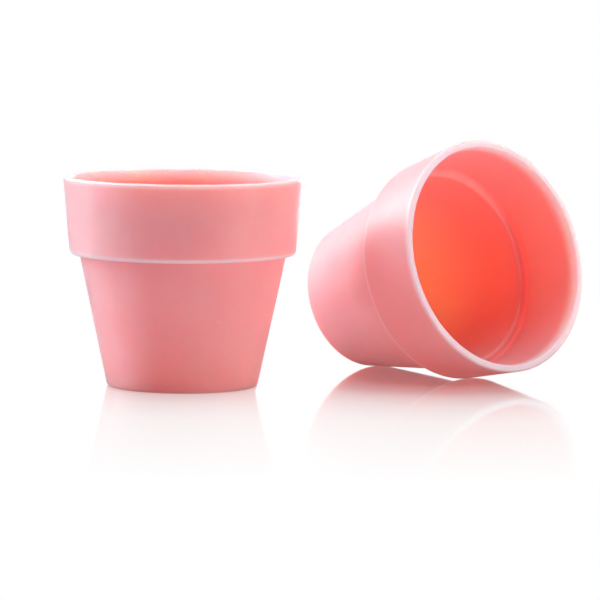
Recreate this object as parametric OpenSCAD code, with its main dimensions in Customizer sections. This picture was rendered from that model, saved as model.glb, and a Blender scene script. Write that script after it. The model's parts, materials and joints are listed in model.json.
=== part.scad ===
// A pair of one-piece flexible casting moulds, each a thin-walled cup in the shape of a flower pot.
// One mould stands on its foot. The other lies on its side and rests on two edges only: the edge of
// its foot and the lower edge of its collar.
// Sizes are in millimetres and +Z is up. The origin is the centre of the standing mould's foot.

/* [Mould] */
// Height of the mould, from the foot to the top of the rim
mould_h = 61.2; // [56:0.1:75]
// Outside diameter of the rim
rim_d = 70; // [67:0.5:80]
// Outside diameter of the collar at its lower edge
collar_low_d = 66; // [64:0.5:69]
// Outside diameter of the body where it meets the collar
body_top_d = 60.4; // [55:0.1:62]
// Diameter of the foot
foot_d = 44; // [38:0.5:50]
// Height of the collar's lower edge above the foot
collar_z = 38.6; // [32:0.1:46]
// Thickness of the wall, the floor and the shoulder under the collar
wall = 2.15; // [1.6:0.05:2.6]

/* [Roundings] */
// Radius of the foot's edge
foot_round = 1; // [0.4:0.1:2]
// Radius of the collar's lower edge
collar_round = 1.4; // [0.4:0.1:2]
// Radius in the corner between the collar's underside and the body
root_round = 0.6; // [0.2:0.1:0.8]
// Radius of the two edges of the rim
rim_round = 0.45; // [0.2:0.05:0.75]
// Radius of the corner between the floor and the wall, inside
floor_round = 2; // [0.5:0.1:4]
// Radius of the shoulder's lip, inside
lip_round = 1; // [0.2:0.1:1.2]
// Radius in the corner between the shoulder and the collar, inside
shoulder_round = 1.2; // [0.2:0.1:1.4]

/* [Layout] */
// Distance of the lying mould's foot centre from the standing mould's axis, to the right
lying_x = 53.3; // [50:0.1:80]
// Distance of the lying mould's foot centre from the standing mould's axis, to the back
lying_y = 56.7; // [50:0.1:80]
// Direction of the lying mould's mouth, in degrees from +X towards +Y
lying_heading = -48.6; // [-60:0.1:-30]

/* [Hidden] */
mould_colour = "#ec9ba1";
ring_facets = 180;
arc_step = 12;
foot_r = foot_d / 2;
body_top_r = body_top_d / 2;
collar_low_r = collar_low_d / 2;
rim_r = rim_d / 2;

// The body's wall leans out by body_taper, and the collar's by collar_taper
body_taper = atan2(body_top_r - foot_r, collar_z);
collar_taper = atan2(rim_r - collar_low_r, mould_h - collar_z);

// Radius of each inner face at height z, one wall thickness inside its outer face
function body_in_r(z) = foot_r + z * tan(body_taper) - wall / cos(body_taper);
function collar_in_r(z) = collar_low_r + (z - collar_z) * tan(collar_taper) - wall / cos(collar_taper);

// Direction from point a to point b
function towards(a, b) = (b - a) / norm(b - a);

// Half of the angle at corner b, between its sides to a and c
function half_angle(a, b, c) = acos(towards(b, a) * towards(b, c)) / 2;

// Centre of the arc of radius r that rounds corner b
function arc_centre(a, b, c, r) =
    b + towards([0, 0], towards(b, a) + towards(b, c)) * r / sin(half_angle(a, b, c));

// An angle brought between -180 and 180 degrees
function wrapped(angle) = angle - 360 * round(angle / 360);

// Points of that arc, from the side towards a to the side towards c
function arc_points(a, b, c, r) =
    let (
        centre = arc_centre(a, b, c, r),
        reach = r / tan(half_angle(a, b, c)),
        first = b + towards(b, a) * reach - centre,
        last = b + towards(b, c) * reach - centre,
        start = atan2(first[1], first[0]),
        sweep = wrapped(atan2(last[1], last[0]) - start),
        steps = ceil(abs(sweep) / arc_step)
    )
    [for (i = [0:steps]) centre + r * [cos(start + sweep * i / steps), sin(start + sweep * i / steps)]];

// Widths of the collar's underside and of the shoulder above it, inside. The two roundings at the
// ends of each are held to a share of its width, so that they never run into each other
shoulder_z = collar_z + wall;
underside_w = collar_low_r - body_top_r;
shoulder_w = collar_in_r(shoulder_z) - body_in_r(shoulder_z);
root_share = 0.3;
collar_share = 0.6;
shoulder_share = 0.48;
root_r = min(root_round, root_share * underside_w);
collar_edge_r = min(collar_round, collar_share * underside_w);
shoulder_r = min(shoulder_round, shoulder_share * shoulder_w);
lip_r = min(lip_round, shoulder_share * shoulder_w);

// Corners of the mould's section, each as its point and its radius, from the middle of the foot up
// the outside, over the rim and down the inside to the middle of the floor
corners = [
    [[0, 0], 0],
    [[foot_r, 0], foot_round],
    [[body_top_r, collar_z], root_r],
    [[collar_low_r, collar_z], collar_edge_r],
    [[rim_r, mould_h], rim_round],
    [[collar_in_r(mould_h), mould_h], rim_round],
    [[collar_in_r(shoulder_z), shoulder_z], shoulder_r],
    [[body_in_r(shoulder_z), shoulder_z], lip_r],
    [[body_in_r(wall), wall], floor_round],
    [[0, wall], 0]
];
foot_corner = 1;
collar_corner = 3;

// Centre of the arc that rounds corner number i of the section
function corner_centre(i) =
    arc_centre(corners[i - 1][0], corners[i][0], corners[i + 1][0], corners[i][1]);

section = [
    for (i = [0:len(corners) - 1])
        each corners[i][1] == 0
            ? [corners[i][0]]
            : arc_points(corners[i - 1][0], corners[i][0], corners[i + 1][0], corners[i][1])
];

// The lying mould's axis rises towards its mouth by the slope of the line that touches both the
// foot's edge and the collar's lower edge
foot_arc = corner_centre(foot_corner);
collar_arc = corner_centre(collar_corner);
arc_span = collar_arc - foot_arc;
lying_rise = atan2(arc_span[0], arc_span[1]) + asin((collar_edge_r - foot_round) / norm(arc_span));
lying_z = foot_round + foot_arc[0] * cos(lying_rise) - foot_arc[1] * sin(lying_rise);

// One whole mould, on its foot and centred on the Z axis
module mould() {
    rotate_extrude($fn = ring_facets)
        polygon(section);
}

module standing_mould() {
    color(mould_colour)
        mould();
}

module lying_mould() {
    color(mould_colour)
        translate([lying_x, lying_y, lying_z])
            rotate([0, 90 - lying_rise, lying_heading])
                mould();
}

standing_mould();
lying_mould();
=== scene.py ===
"""Two one-piece casting moulds of translucent pink silicone, each in the shape of a flower pot.

One stands on its foot and the other lies on its side. Both are built here as closed skins around
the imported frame, in metres, and each stands for one CAD node.
"""
import json
import math

import bpy
from mathutils import Matrix, Vector, noise


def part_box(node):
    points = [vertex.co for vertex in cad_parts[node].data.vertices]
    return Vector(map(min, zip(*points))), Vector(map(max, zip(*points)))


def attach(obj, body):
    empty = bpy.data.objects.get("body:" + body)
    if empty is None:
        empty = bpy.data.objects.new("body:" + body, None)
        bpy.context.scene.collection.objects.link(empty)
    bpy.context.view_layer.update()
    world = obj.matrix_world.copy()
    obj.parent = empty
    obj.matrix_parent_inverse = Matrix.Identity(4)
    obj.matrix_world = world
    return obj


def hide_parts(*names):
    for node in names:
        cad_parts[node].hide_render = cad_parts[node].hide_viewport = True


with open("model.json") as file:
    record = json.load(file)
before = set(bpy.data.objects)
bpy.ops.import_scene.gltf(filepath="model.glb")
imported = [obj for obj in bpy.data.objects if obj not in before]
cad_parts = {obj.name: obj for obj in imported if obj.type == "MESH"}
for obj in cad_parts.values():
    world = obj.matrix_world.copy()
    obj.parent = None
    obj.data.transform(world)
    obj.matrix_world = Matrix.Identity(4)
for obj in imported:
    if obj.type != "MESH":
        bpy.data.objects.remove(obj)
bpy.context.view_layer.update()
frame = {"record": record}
record = frame["record"]
mounts = {mount["name"]: mount for mount in record["mounts"]}

MM = 0.001

# ---------------------------------------------------------------- sizes of one mould
standing_low, standing_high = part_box("standing_mould")
HEIGHT = standing_high.z - standing_low.z
RIM_R = 35.0 * MM
COLLAR_LOW_R = 33.0 * MM
BODY_TOP_R = 30.2 * MM
FOOT_R = 22.0 * MM
COLLAR_Z = 38.6 * MM
WALL = 2.15 * MM
FOOT_ROUND = 1.0 * MM
COLLAR_ROUND = 1.4 * MM
ROOT_ROUND = 0.6 * MM
RIM_ROUND = 0.45 * MM
FLOOR_ROUND = 2.0 * MM
LIP_ROUND = 1.0 * MM
SHOULDER_ROUND = 1.2 * MM
SHOULDER_Z = COLLAR_Z + WALL

BODY_TAPER = math.atan2(BODY_TOP_R - FOOT_R, COLLAR_Z)
COLLAR_TAPER = math.atan2(RIM_R - COLLAR_LOW_R, HEIGHT - COLLAR_Z)

# ---------------------------------------------------------------- how finely a skin is cut
RING_POINTS = 320
ARC_STEP = math.radians(11)
SIDE_STEP = 1.1 * MM
EDGE_GAP = 0.12 * MM

# ---------------------------------------------------------------- how far a skin is out of true
SLOW_WAVE = 16 * MM
OUT_OF_TRUE = 0.09 * MM
FLAT_MIDDLE = (4 * MM, 20 * MM)
WAVY_RIM = (2.5 * MM, 0.3 * MM)
RIPPLES = 5.5
NICKS = 17.0
RIPPLE_DEPTH = 0.10 * MM
NICK_DEPTH = 0.06 * MM

# ---------------------------------------------------------------- where a skin's marks lie
# Depths below the rim, from where a mark starts to where it is full
RIM_MARK = (0.9 * MM, 0.3 * MM)
# The lip marks carry painted light on the rim and down the mouth's inner face
INNER_LIP = (5.2 * MM, 0.8 * MM)
OUTER_LIP = (1.2 * MM, 0.4 * MM)
OUTER_LIP_SHARE = 0.5
# Middle of the collar's rounded edge, and how far its painted highlight reaches from there
COLLAR_EDGE = Vector((COLLAR_LOW_R - 0.4 * MM, COLLAR_Z + 0.4 * MM))
COLLAR_EDGE_REACH = (0.5 * MM, 1.3 * MM)
# Heights above the foot
INSIDE_RISE = (4 * MM, 34 * MM)
MOUTH_RISE = (SHOULDER_Z - 1.0 * MM, SHOULDER_Z + 3.0 * MM)
FLOOR_SHARE = 0.5


def body_in_r(z):
    """Radius of the body's inner face at height z."""
    return FOOT_R + z * math.tan(BODY_TAPER) - WALL / math.cos(BODY_TAPER)


def collar_in_r(z):
    """Radius of the collar's inner face at height z."""
    return COLLAR_LOW_R + (z - COLLAR_Z) * math.tan(COLLAR_TAPER) - WALL / math.cos(COLLAR_TAPER)


def section_corners():
    """Corners of the section as (radius, height) with each one's rounding, from foot to floor."""
    return [
        (Vector((0.0, 0.0)), 0.0),
        (Vector((FOOT_R, 0.0)), FOOT_ROUND),
        (Vector((BODY_TOP_R, COLLAR_Z)), ROOT_ROUND),
        (Vector((COLLAR_LOW_R, COLLAR_Z)), COLLAR_ROUND),
        (Vector((RIM_R, HEIGHT)), RIM_ROUND),
        (Vector((collar_in_r(HEIGHT), HEIGHT)), RIM_ROUND),
        (Vector((collar_in_r(SHOULDER_Z), SHOULDER_Z)), SHOULDER_ROUND),
        (Vector((body_in_r(SHOULDER_Z), SHOULDER_Z)), LIP_ROUND),
        (Vector((body_in_r(WALL), WALL)), FLOOR_ROUND),
        (Vector((0.0, WALL)), 0.0),
    ]


def arc(before, corner, after, radius):
    """Points that round a corner, from the side towards before to the side towards after."""
    back = (before - corner).normalized()
    on = (after - corner).normalized()
    half = back.angle(on) / 2
    centre = corner + (back + on).normalized() * (radius / math.sin(half))
    first = corner + back * (radius / math.tan(half)) - centre
    last = corner + on * (radius / math.tan(half)) - centre
    start = math.atan2(first.y, first.x)
    sweep = (math.atan2(last.y, last.x) - start + math.pi) % (2 * math.pi) - math.pi
    steps = max(3, math.ceil(abs(sweep) / ARC_STEP))
    angles = [start + sweep * i / steps for i in range(steps + 1)]
    return [centre + Vector((math.cos(a), math.sin(a))) * radius for a in angles]


def side(start, end):
    """Points strictly between the ends of a straight side, with one close to each end."""
    length = (end - start).length
    if length < 4 * EDGE_GAP:
        return []
    way = (end - start) / length
    inner = length - 2 * EDGE_GAP
    steps = max(1, math.ceil(inner / SIDE_STEP))
    return [start + way * (EDGE_GAP + inner * i / steps) for i in range(steps + 1)]


def section():
    """The whole section as a list of points from the middle of the foot to the middle of the floor."""
    corners = section_corners()
    stretches = []
    for i, (corner, radius) in enumerate(corners):
        if radius == 0.0:
            stretches.append([corner])
        else:
            stretches.append(arc(corners[i - 1][0], corner, corners[i + 1][0], radius))
    points = list(stretches[0])
    for stretch in stretches[1:]:
        points += side(points[-1], stretch[0])
        points += stretch
    return points


def fade(value, low, high):
    """0 below low, 1 above high, and smooth in between."""
    t = min(max((value - low) / (high - low), 0.0), 1.0)
    return t * t * (3 - 2 * t)


def near_rim(z, depths):
    """0 below the first depth under the rim, and 1 above the second."""
    return fade(z, HEIGHT - depths[0], HEIGHT - depths[1])


def moulded(radius, angle, z, seed):
    """A point of the skin, a little out of true, as a soft moulding is, with a slightly wavy rim."""
    way = Vector((math.cos(angle), math.sin(angle), 0.0))
    place = Vector((way.x * radius, way.y * radius, z))
    slow = noise.noise(place / SLOW_WAVE + seed)
    ripple = noise.noise(way * RIPPLES + seed * 1.7)
    nick = noise.noise(way * NICKS + seed * 2.3)
    place += way * slow * OUT_OF_TRUE * fade(radius, *FLAT_MIDDLE)
    place.z += near_rim(z, WAVY_RIM) * (ripple * RIPPLE_DEPTH + nick * NICK_DEPTH)
    return place


def on_rim(point, inside):
    """1 on the flat of the rim and its two rounded edges, and 0 below them."""
    return near_rim(point.y, RIM_MARK)


def on_lip(point, inside):
    """How much painted light the mouth gets: most on its inner face at the rim, and fading away below.
    """
    if inside:
        return near_rim(point.y, INNER_LIP)
    return OUTER_LIP_SHARE * near_rim(point.y, OUTER_LIP)


def on_collar_edge(point, inside):
    """1 on the collar's rounded lower edge, outside, and 0 away from it. It carries a painted
    highlight.
    """
    return 1 - fade((point - COLLAR_EDGE).length, *COLLAR_EDGE_REACH)


def on_inside(point, inside):
    """0 on the outer faces. Inside, it rises from FLOOR_SHARE on the floor to 1 near the shoulder. It
    makes the inside matt and carries the inside's painted glow and shade.
    """
    return FLOOR_SHARE + (1 - FLOOR_SHARE) * fade(point.y, *INSIDE_RISE) if inside else 0.0


def on_mouth(point, inside):
    """1 on the inner face from just above the shoulder to the rim, and 0 elsewhere. It carries a rosy
    painted glow.
    """
    return fade(point.y, *MOUTH_RISE) if inside else 0.0


MARKS = {
    "rim": on_rim,
    "lip": on_lip,
    "collar_edge": on_collar_edge,
    "inside": on_inside,
    "mouth": on_mouth,
}


def mould_skin(name, place, seed):
    """One whole mould as a closed mesh with its marks, turned and put where place says."""
    points = section()
    highest = max(range(len(points)), key=lambda i: points[i].y)
    seed = Vector(seed)
    verts = [place @ Vector((0.0, 0.0, points[0].y))]
    for point in points[1:-1]:
        for k in range(RING_POINTS):
            angle = 2 * math.pi * k / RING_POINTS
            verts.append(place @ moulded(point.x, angle, point.y, seed))
    verts.append(place @ Vector((0.0, 0.0, points[-1].y)))
    rings = len(points) - 2
    last = len(verts) - 1
    faces = []
    for k in range(RING_POINTS):
        n = (k + 1) % RING_POINTS
        faces.append((0, 1 + n, 1 + k))
        for ring in range(rings - 1):
            a = 1 + ring * RING_POINTS
            b = a + RING_POINTS
            faces.append((a + k, a + n, b + n, b + k))
        top = 1 + (rings - 1) * RING_POINTS
        faces.append((top + k, top + n, last))
    mesh = bpy.data.meshes.new(name)
    mesh.from_pydata(verts, [], faces)
    mesh.update()
    mesh.polygons.foreach_set("use_smooth", [True] * len(mesh.polygons))
    for mark, rule in MARKS.items():
        shares = [rule(point, i > highest) for i, point in enumerate(points)]
        around = [share for share in shares[1:-1] for _ in range(RING_POINTS)]
        values = shares[:1] + around + shares[-1:]
        mesh.attributes.new(mark, "FLOAT", "POINT").data.foreach_set("value", values)
    piece = bpy.data.objects.new(name, mesh)
    bpy.context.scene.collection.objects.link(piece)
    return piece


def turned_to(origin, axis):
    """The placement of a mould whose foot is centred on origin and whose mouth looks along axis."""
    up = Vector(axis).normalized()
    across = Vector((0, 0, 1)).cross(up)
    across = across.normalized() if across.length > 1e-6 else Vector((1, 0, 0))
    rows = Matrix((across, up.cross(across), up)).transposed()
    return Matrix.Translation(Vector(origin)) @ rows.to_4x4()


# ---------------------------------------------------------------- silicone
# The outside is mottled between two pinks. The inside's red, paler on its floor and deeper towards the
# shoulder, and the rosy band in the collar are painted glow and shade of light through the walls
PINK_DEEP = (0.960, 0.380, 0.415)
PINK_PALE = (0.970, 0.420, 0.455)
INSIDE_FLOOR_PAINTED_GLOW = (0.970, 0.490, 0.440)
INSIDE_WALL_PAINTED_SHADE = (0.935, 0.320, 0.315)
# Painted glow: a rosy band on the inner face of the collar
MOUTH_PAINTED_GLOW = (0.950, 0.370, 0.400)
DUST = (0.98, 0.70, 0.72)
# Painted highlight: a pale line along the collar's rounded lower edge
COLLAR_EDGE_PAINTED_HIGHLIGHT = (0.98, 0.70, 0.77)
# Painted light: the pale rim and the pale band a few millimetres down the mouth's inner face
LIP_PAINTED_LIGHT = (0.98, 0.70, 0.81)
COLLAR_EDGE_HIGHLIGHT_SHARE = 0.75
LIP_PAINTED_LIGHT_SHARE = 0.9

# Sizes of the patterns, as repeats in a metre
MOTTLE = 60.0
SPECKS = 210.0
SPECK_GROUPS = 95.0
HANDLING = 130.0
GRAIN = 1500.0
WAVES = 170.0
GRAIN_DEPTH = 0.06 * MM
WAVE_DEPTH = 0.12 * MM

# Roughness where the skin is handled least and most, inside, and on the rim
SATIN = (0.34, 0.48)
MATT = 0.55
SMOOTH_RIM = 0.25

SILICONE_IOR = 1.41
GLOW_COLOURS = (1.0, 0.35, 0.22)
GLOW_REACH = 14 * MM


def silicone():
    """Satin, translucent pink silicone with faint mottling, dust specks and handling marks, and
    painted light and shade inside, on the rim and along the collar's edge.
    """
    mat = bpy.data.materials.new("pink_silicone")
    mat.use_nodes = True
    nodes = mat.node_tree.nodes
    links = mat.node_tree.links
    skin = nodes["Principled BSDF"]
    coords = nodes.new("ShaderNodeTexCoord")

    def pattern(kind, scale, **inputs):
        node = nodes.new(kind)
        links.new(coords.outputs["Object"], node.inputs["Vector"])
        node.inputs["Scale"].default_value = scale
        for key, value in inputs.items():
            node.inputs[key].default_value = value
        return node

    def ramp(source, stops):
        node = nodes.new("ShaderNodeValToRGB")
        links.new(source, node.inputs["Fac"])
        elements = node.color_ramp.elements
        while len(elements) < len(stops):
            elements.new(0.5)
        for element, (position, colour) in zip(elements, stops):
            element.position = position
            element.color = (*colour, 1.0)
        return node

    def mixed(factor, first, second):
        node = nodes.new("ShaderNodeMix")
        node.data_type = "RGBA"
        links.new(factor, node.inputs["Factor"])
        for value, socket in ((first, node.inputs[6]), (second, node.inputs[7])):
            if isinstance(value, tuple):
                socket.default_value = (*value, 1.0)
            else:
                links.new(value, socket)
        return node.outputs[2]

    def mark(name):
        """The share of a place in the mesh's own marks, such as its rim."""
        node = nodes.new("ShaderNodeAttribute")
        node.attribute_name = name
        return node.outputs["Fac"]

    def number(value, low, high, to_low, to_high):
        """A value brought from one range to another."""
        node = nodes.new("ShaderNodeMapRange")
        links.new(value, node.inputs["Value"])
        node.inputs["From Min"].default_value = low
        node.inputs["From Max"].default_value = high
        for key, goal in (("To Min", to_low), ("To Max", to_high)):
            if isinstance(goal, float):
                node.inputs[key].default_value = goal
            else:
                links.new(goal, node.inputs[key])
        return node.outputs["Result"]

    mottle = pattern("ShaderNodeTexNoise", MOTTLE, Detail=4.0, Roughness=0.6)
    cloud = ramp(mottle.outputs["Fac"], [(0.3, PINK_DEEP), (0.7, PINK_PALE)])
    specks = pattern("ShaderNodeTexVoronoi", SPECKS)
    dots = ramp(specks.outputs["Distance"], [(0.035, (1, 1, 1)), (0.075, (0, 0, 0))])
    thin_out = pattern("ShaderNodeTexNoise", SPECK_GROUPS, Detail=1.0)
    few = ramp(thin_out.outputs["Fac"], [(0.60, (0, 0, 0)), (0.64, (0.5, 0.5, 0.5))])
    dust = nodes.new("ShaderNodeMath")
    dust.operation = "MULTIPLY"
    links.new(dots.outputs["Color"], dust.inputs[0])
    links.new(few.outputs["Color"], dust.inputs[1])
    # Painted glow and shade inside: paler red on the floor, deeper red towards the shoulder
    depth = ramp(mark("inside"), [(FLOOR_SHARE, INSIDE_FLOOR_PAINTED_GLOW), (1.0, INSIDE_WALL_PAINTED_SHADE)])
    within = number(mark("inside"), 0.0, FLOOR_SHARE, 0.0, 1.0)
    faced = mixed(within, cloud.outputs["Color"], depth.outputs["Color"])
    # Painted glow: the rosy band on the inner face of the collar
    rosy = mixed(mark("mouth"), faced, MOUTH_PAINTED_GLOW)
    dusty = mixed(dust.outputs["Value"], rosy, DUST)
    # Painted highlight along the collar's lower edge
    edged = mixed(number(mark("collar_edge"), 0.0, 1.0, 0.0, COLLAR_EDGE_HIGHLIGHT_SHARE), dusty, COLLAR_EDGE_PAINTED_HIGHLIGHT)
    # Painted light on the rim and the mouth's inner face
    lipped = mixed(number(mark("lip"), 0.0, 1.0, 0.0, LIP_PAINTED_LIGHT_SHARE), edged, LIP_PAINTED_LIGHT)
    links.new(lipped, skin.inputs["Base Color"])

    handled = pattern("ShaderNodeTexNoise", HANDLING, Detail=5.0, Roughness=0.65)
    satin = number(handled.outputs["Fac"], 0.3, 0.7, *SATIN)
    matt = number(mark("inside"), 0.0, 1.0, satin, MATT)
    gloss = number(mark("rim"), 0.0, 1.0, matt, SMOOTH_RIM)
    links.new(gloss, skin.inputs["Roughness"])

    grain = pattern("ShaderNodeTexNoise", GRAIN, Detail=3.0, Roughness=0.6)
    wave = pattern("ShaderNodeTexNoise", WAVES, Detail=2.0)
    fine = nodes.new("ShaderNodeBump")
    fine.inputs["Strength"].default_value = 0.25
    fine.inputs["Distance"].default_value = GRAIN_DEPTH
    links.new(grain.outputs["Fac"], fine.inputs["Height"])
    broad = nodes.new("ShaderNodeBump")
    broad.inputs["Strength"].default_value = 0.5
    broad.inputs["Distance"].default_value = WAVE_DEPTH
    links.new(wave.outputs["Fac"], broad.inputs["Height"])
    links.new(fine.outputs["Normal"], broad.inputs["Normal"])
    links.new(broad.outputs["Normal"], skin.inputs["Normal"])

    skin.inputs["IOR"].default_value = SILICONE_IOR
    skin.inputs["Subsurface Weight"].default_value = 1.0
    skin.inputs["Subsurface Radius"].default_value = GLOW_COLOURS
    skin.inputs["Subsurface Scale"].default_value = GLOW_REACH
    return mat


# ---------------------------------------------------------------- the two moulds
material = silicone()
lying_foot = mounts["lying_foot"]
lying_axis = -Vector(lying_foot["axis"])
placements = {
    "standing": ("standing_mould", Matrix.Identity(4), (3.1, 7.7, 1.9)),
    "lying": ("lying_mould", turned_to(lying_foot["pos_m"], lying_axis), (11.4, 2.6, 5.3)),
}
for body, (node, place, seed) in placements.items():
    piece = mould_skin(body + "_mould_skin", place, seed)
    piece.data.materials.append(material)
    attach(piece, body)
    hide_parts(node)


# ---------------------------------------------------------------- floor
FLOOR_SIZE = 6.0
GLOSS_ROUGHNESS = 0.06
SEEN_IN_GLOSS = 0.03

# What hangs over the floor, as circles with a centre and a radius, and the share that the floor
# mirrors at a distance from their edge. The distance is below 0 inside a circle
OVERHANGS = [((0.0, 0.0), 0.022), ((0.075, 0.032), 0.056)]
GLOSS_SPAN = (-0.04, 0.20)
GLOSS_BY_CLEARANCE = [
    (-0.030, 0.95),
    (-0.010, 0.75),
    (0.002, 0.53),
    (0.021, 0.34),
    (0.038, 0.23),
    (0.055, 0.155),
    (0.096, 0.09),
    (0.133, 0.045),
    (0.168, 0.0),
]

# What stands close to the floor, in the same way, and the light that the floor gives the moulds
FOOTPRINTS = [((0.0, 0.0), 0.022), ((0.075, 0.032), 0.028)]
LIT_SPAN = (0.0, 0.12)
LIT_BY_CLEARANCE = [
    (0.004, (0.42, 0.24, 0.23)),
    (0.022, (0.72, 0.63, 0.65)),
    (0.10, (0.78, 0.75, 0.84)),
]


def floor():
    """A white acrylic sheet, plain white to the camera and glossy near the moulds."""
    bpy.ops.mesh.primitive_plane_add(size=FLOOR_SIZE, location=(0, 0, 0))
    sheet = bpy.context.object
    sheet.name = "floor"
    mat = bpy.data.materials.new("white_acrylic")
    mat.use_nodes = True
    nodes = mat.node_tree.nodes
    links = mat.node_tree.links
    nodes.clear()
    out = nodes.new("ShaderNodeOutputMaterial")
    mix = nodes.new("ShaderNodeMixShader")
    glow = nodes.new("ShaderNodeEmission")
    gloss = nodes.new("ShaderNodeBsdfGlossy")
    gloss.inputs["Color"].default_value = (1.0, 1.0, 1.0, 1.0)
    gloss.inputs["Roughness"].default_value = GLOSS_ROUGHNESS
    coords = nodes.new("ShaderNodeTexCoord")

    def ramp(source, low, high, stops):
        """A grey level or a colour along source, from low to high, with stops at places between."""
        scaled = nodes.new("ShaderNodeMapRange")
        links.new(source, scaled.inputs["Value"])
        scaled.inputs["From Min"].default_value = low
        scaled.inputs["From Max"].default_value = high
        node = nodes.new("ShaderNodeValToRGB")
        links.new(scaled.outputs["Result"], node.inputs["Fac"])
        elements = node.color_ramp.elements
        while len(elements) < len(stops):
            elements.new(0.5)
        for element, (place, value) in zip(elements, stops):
            element.position = (place - low) / (high - low)
            colour = value if isinstance(value, tuple) else (value,) * 3
            element.color = (*colour, 1.0)
        return node.outputs["Color"]

    def combined(operation, first, second):
        """One operation on two values, each of them a number or another node's output."""
        node = nodes.new("ShaderNodeMath")
        node.operation = operation
        for value, socket in ((first, node.inputs[0]), (second, node.inputs[1])):
            if isinstance(value, float):
                socket.default_value = value
            else:
                links.new(value, socket)
        return node.outputs["Value"]

    def picked(ray, otherwise, value):
        """value for one kind of ray, and otherwise what the other rays get."""
        node = nodes.new("ShaderNodeMix")
        node.data_type = "FLOAT"
        links.new(path.outputs[ray], node.inputs["Factor"])
        for given, socket in ((otherwise, node.inputs[2]), (value, node.inputs[3])):
            if isinstance(given, float):
                socket.default_value = given
            else:
                links.new(given, socket)
        return node.outputs[0]

    def off(centre, radius):
        """How far a place on the floor is outside a round footprint."""
        node = nodes.new("ShaderNodeVectorMath")
        node.operation = "DISTANCE"
        links.new(coords.outputs["Object"], node.inputs[0])
        node.inputs[1].default_value = (*centre, 0.0)
        return combined("SUBTRACT", node.outputs["Value"], radius)

    path = nodes.new("ShaderNodeLightPath")
    overhung = combined("MINIMUM", *[off(centre, radius) for centre, radius in OVERHANGS])
    gleam = ramp(overhung, *GLOSS_SPAN, GLOSS_BY_CLEARANCE)
    links.new(picked("Is Camera Ray", 0.0, gleam), mix.inputs["Fac"])
    clear = combined("MINIMUM", *[off(centre, radius) for centre, radius in FOOTPRINTS])
    lit = ramp(clear, *LIT_SPAN, LIT_BY_CLEARANCE)
    tint = nodes.new("ShaderNodeMix")
    tint.data_type = "RGBA"
    links.new(path.outputs["Is Diffuse Ray"], tint.inputs["Factor"])
    tint.inputs[6].default_value = (1.0, 1.0, 1.0, 1.0)
    links.new(lit, tint.inputs[7])
    links.new(tint.outputs[2], glow.inputs["Color"])
    links.new(picked("Is Glossy Ray", 1.0, SEEN_IN_GLOSS), glow.inputs["Strength"])
    links.new(glow.outputs["Emission"], mix.inputs[1])
    links.new(gloss.outputs["BSDF"], mix.inputs[2])
    links.new(mix.outputs["Shader"], out.inputs["Surface"])
    sheet.data.materials.append(mat)


floor()


# ---------------------------------------------------------------- light
WORLD_ON_MOULDS = 0.02


def surround():
    """Pure white behind everything, which gives the moulds almost no light of its own."""
    world = bpy.data.worlds.new("studio")
    bpy.context.scene.world = world
    world.use_nodes = True
    nodes = world.node_tree.nodes
    links = world.node_tree.links
    back = nodes["Background"]
    back.inputs["Color"].default_value = (1.0, 1.0, 1.0, 1.0)
    path = nodes.new("ShaderNodeLightPath")
    level = nodes.new("ShaderNodeMapRange")
    links.new(path.outputs["Is Diffuse Ray"], level.inputs["Value"])
    level.inputs["To Min"].default_value = 1.0
    level.inputs["To Max"].default_value = WORLD_ON_MOULDS
    links.new(level.outputs["Result"], back.inputs["Strength"])


AIM = Vector((0.04, 0.02, 0.03))
LIGHT_FAR = 1.0
WARM = (1.0, 0.80, 0.70)
COOL = (0.82, 1.0, 1.04)
PLAIN = (1.0, 1.0, 1.0)

# Each light's name, azimuth from +Y towards +X, elevation, side in metres, power in watts and colour
SOFTBOXES = [
    ("back", 15, 4, 0.22, 9.5, PLAIN),
    ("right_front", 120, 4, 0.22, 4.1, WARM),
    ("left_back", 285, 4, 0.22, 4.4, COOL),
    ("front_left", 225, 38, 0.45, 1.1, PLAIN),
    ("left", 270, 38, 0.45, 5.2, COOL),
    ("left_top", 270, 62, 0.50, 3.6, COOL),
    ("right_top", 90, 62, 0.50, 5.2, PLAIN),
    ("window", 300, 34, 0.70, 14.0, PLAIN),
]
# These are seen only as reflections in the gloss
ONLY_GLOSS = {"window"}


def softbox(name, azimuth, elevation, size, power, colour):
    """A square soft light that looks at the moulds from its azimuth. The camera doesn't see it."""
    data = bpy.data.lights.new(name, "AREA")
    data.shape = "SQUARE"
    data.size = size
    data.energy = power
    data.color = colour
    lamp = bpy.data.objects.new(name, data)
    bpy.context.scene.collection.objects.link(lamp)
    turn = math.radians(azimuth)
    lift = math.radians(elevation)
    way = Vector((math.sin(turn) * math.cos(lift), math.cos(turn) * math.cos(lift), math.sin(lift)))
    lamp.location = AIM + way * LIGHT_FAR
    lamp.rotation_euler = (-way).to_track_quat("-Z", "Y").to_euler()
    lamp.visible_camera = False
    lamp.visible_diffuse = name not in ONLY_GLOSS


surround()
for settings in SOFTBOXES:
    softbox(*settings)


# ---------------------------------------------------------------- camera
# Lens and film in millimetres, and how far the camera looks down and is turned about its view
LENS = 247.1
FILM = 36.0
EYE = (0.0343, -1.1983, 0.1480)
LOOK_DOWN = 5.848
ROLL = 0.466


def camera():
    """A long lens a little above the moulds."""
    data = bpy.data.cameras.new("camera")
    data.sensor_width = FILM
    data.lens = LENS
    eye = bpy.data.objects.new("camera", data)
    bpy.context.scene.collection.objects.link(eye)
    tip = math.radians(90 - LOOK_DOWN)
    roll = math.radians(ROLL)
    eye.matrix_world = (
        Matrix.Translation(EYE)
        @ Matrix.Rotation(tip, 4, "X")
        @ Matrix.Rotation(roll, 4, "Z")
    )
    bpy.context.scene.camera = eye


camera()
bpy.context.scene.view_settings.view_transform = "Standard"
bpy.context.scene.view_settings.look = "None"
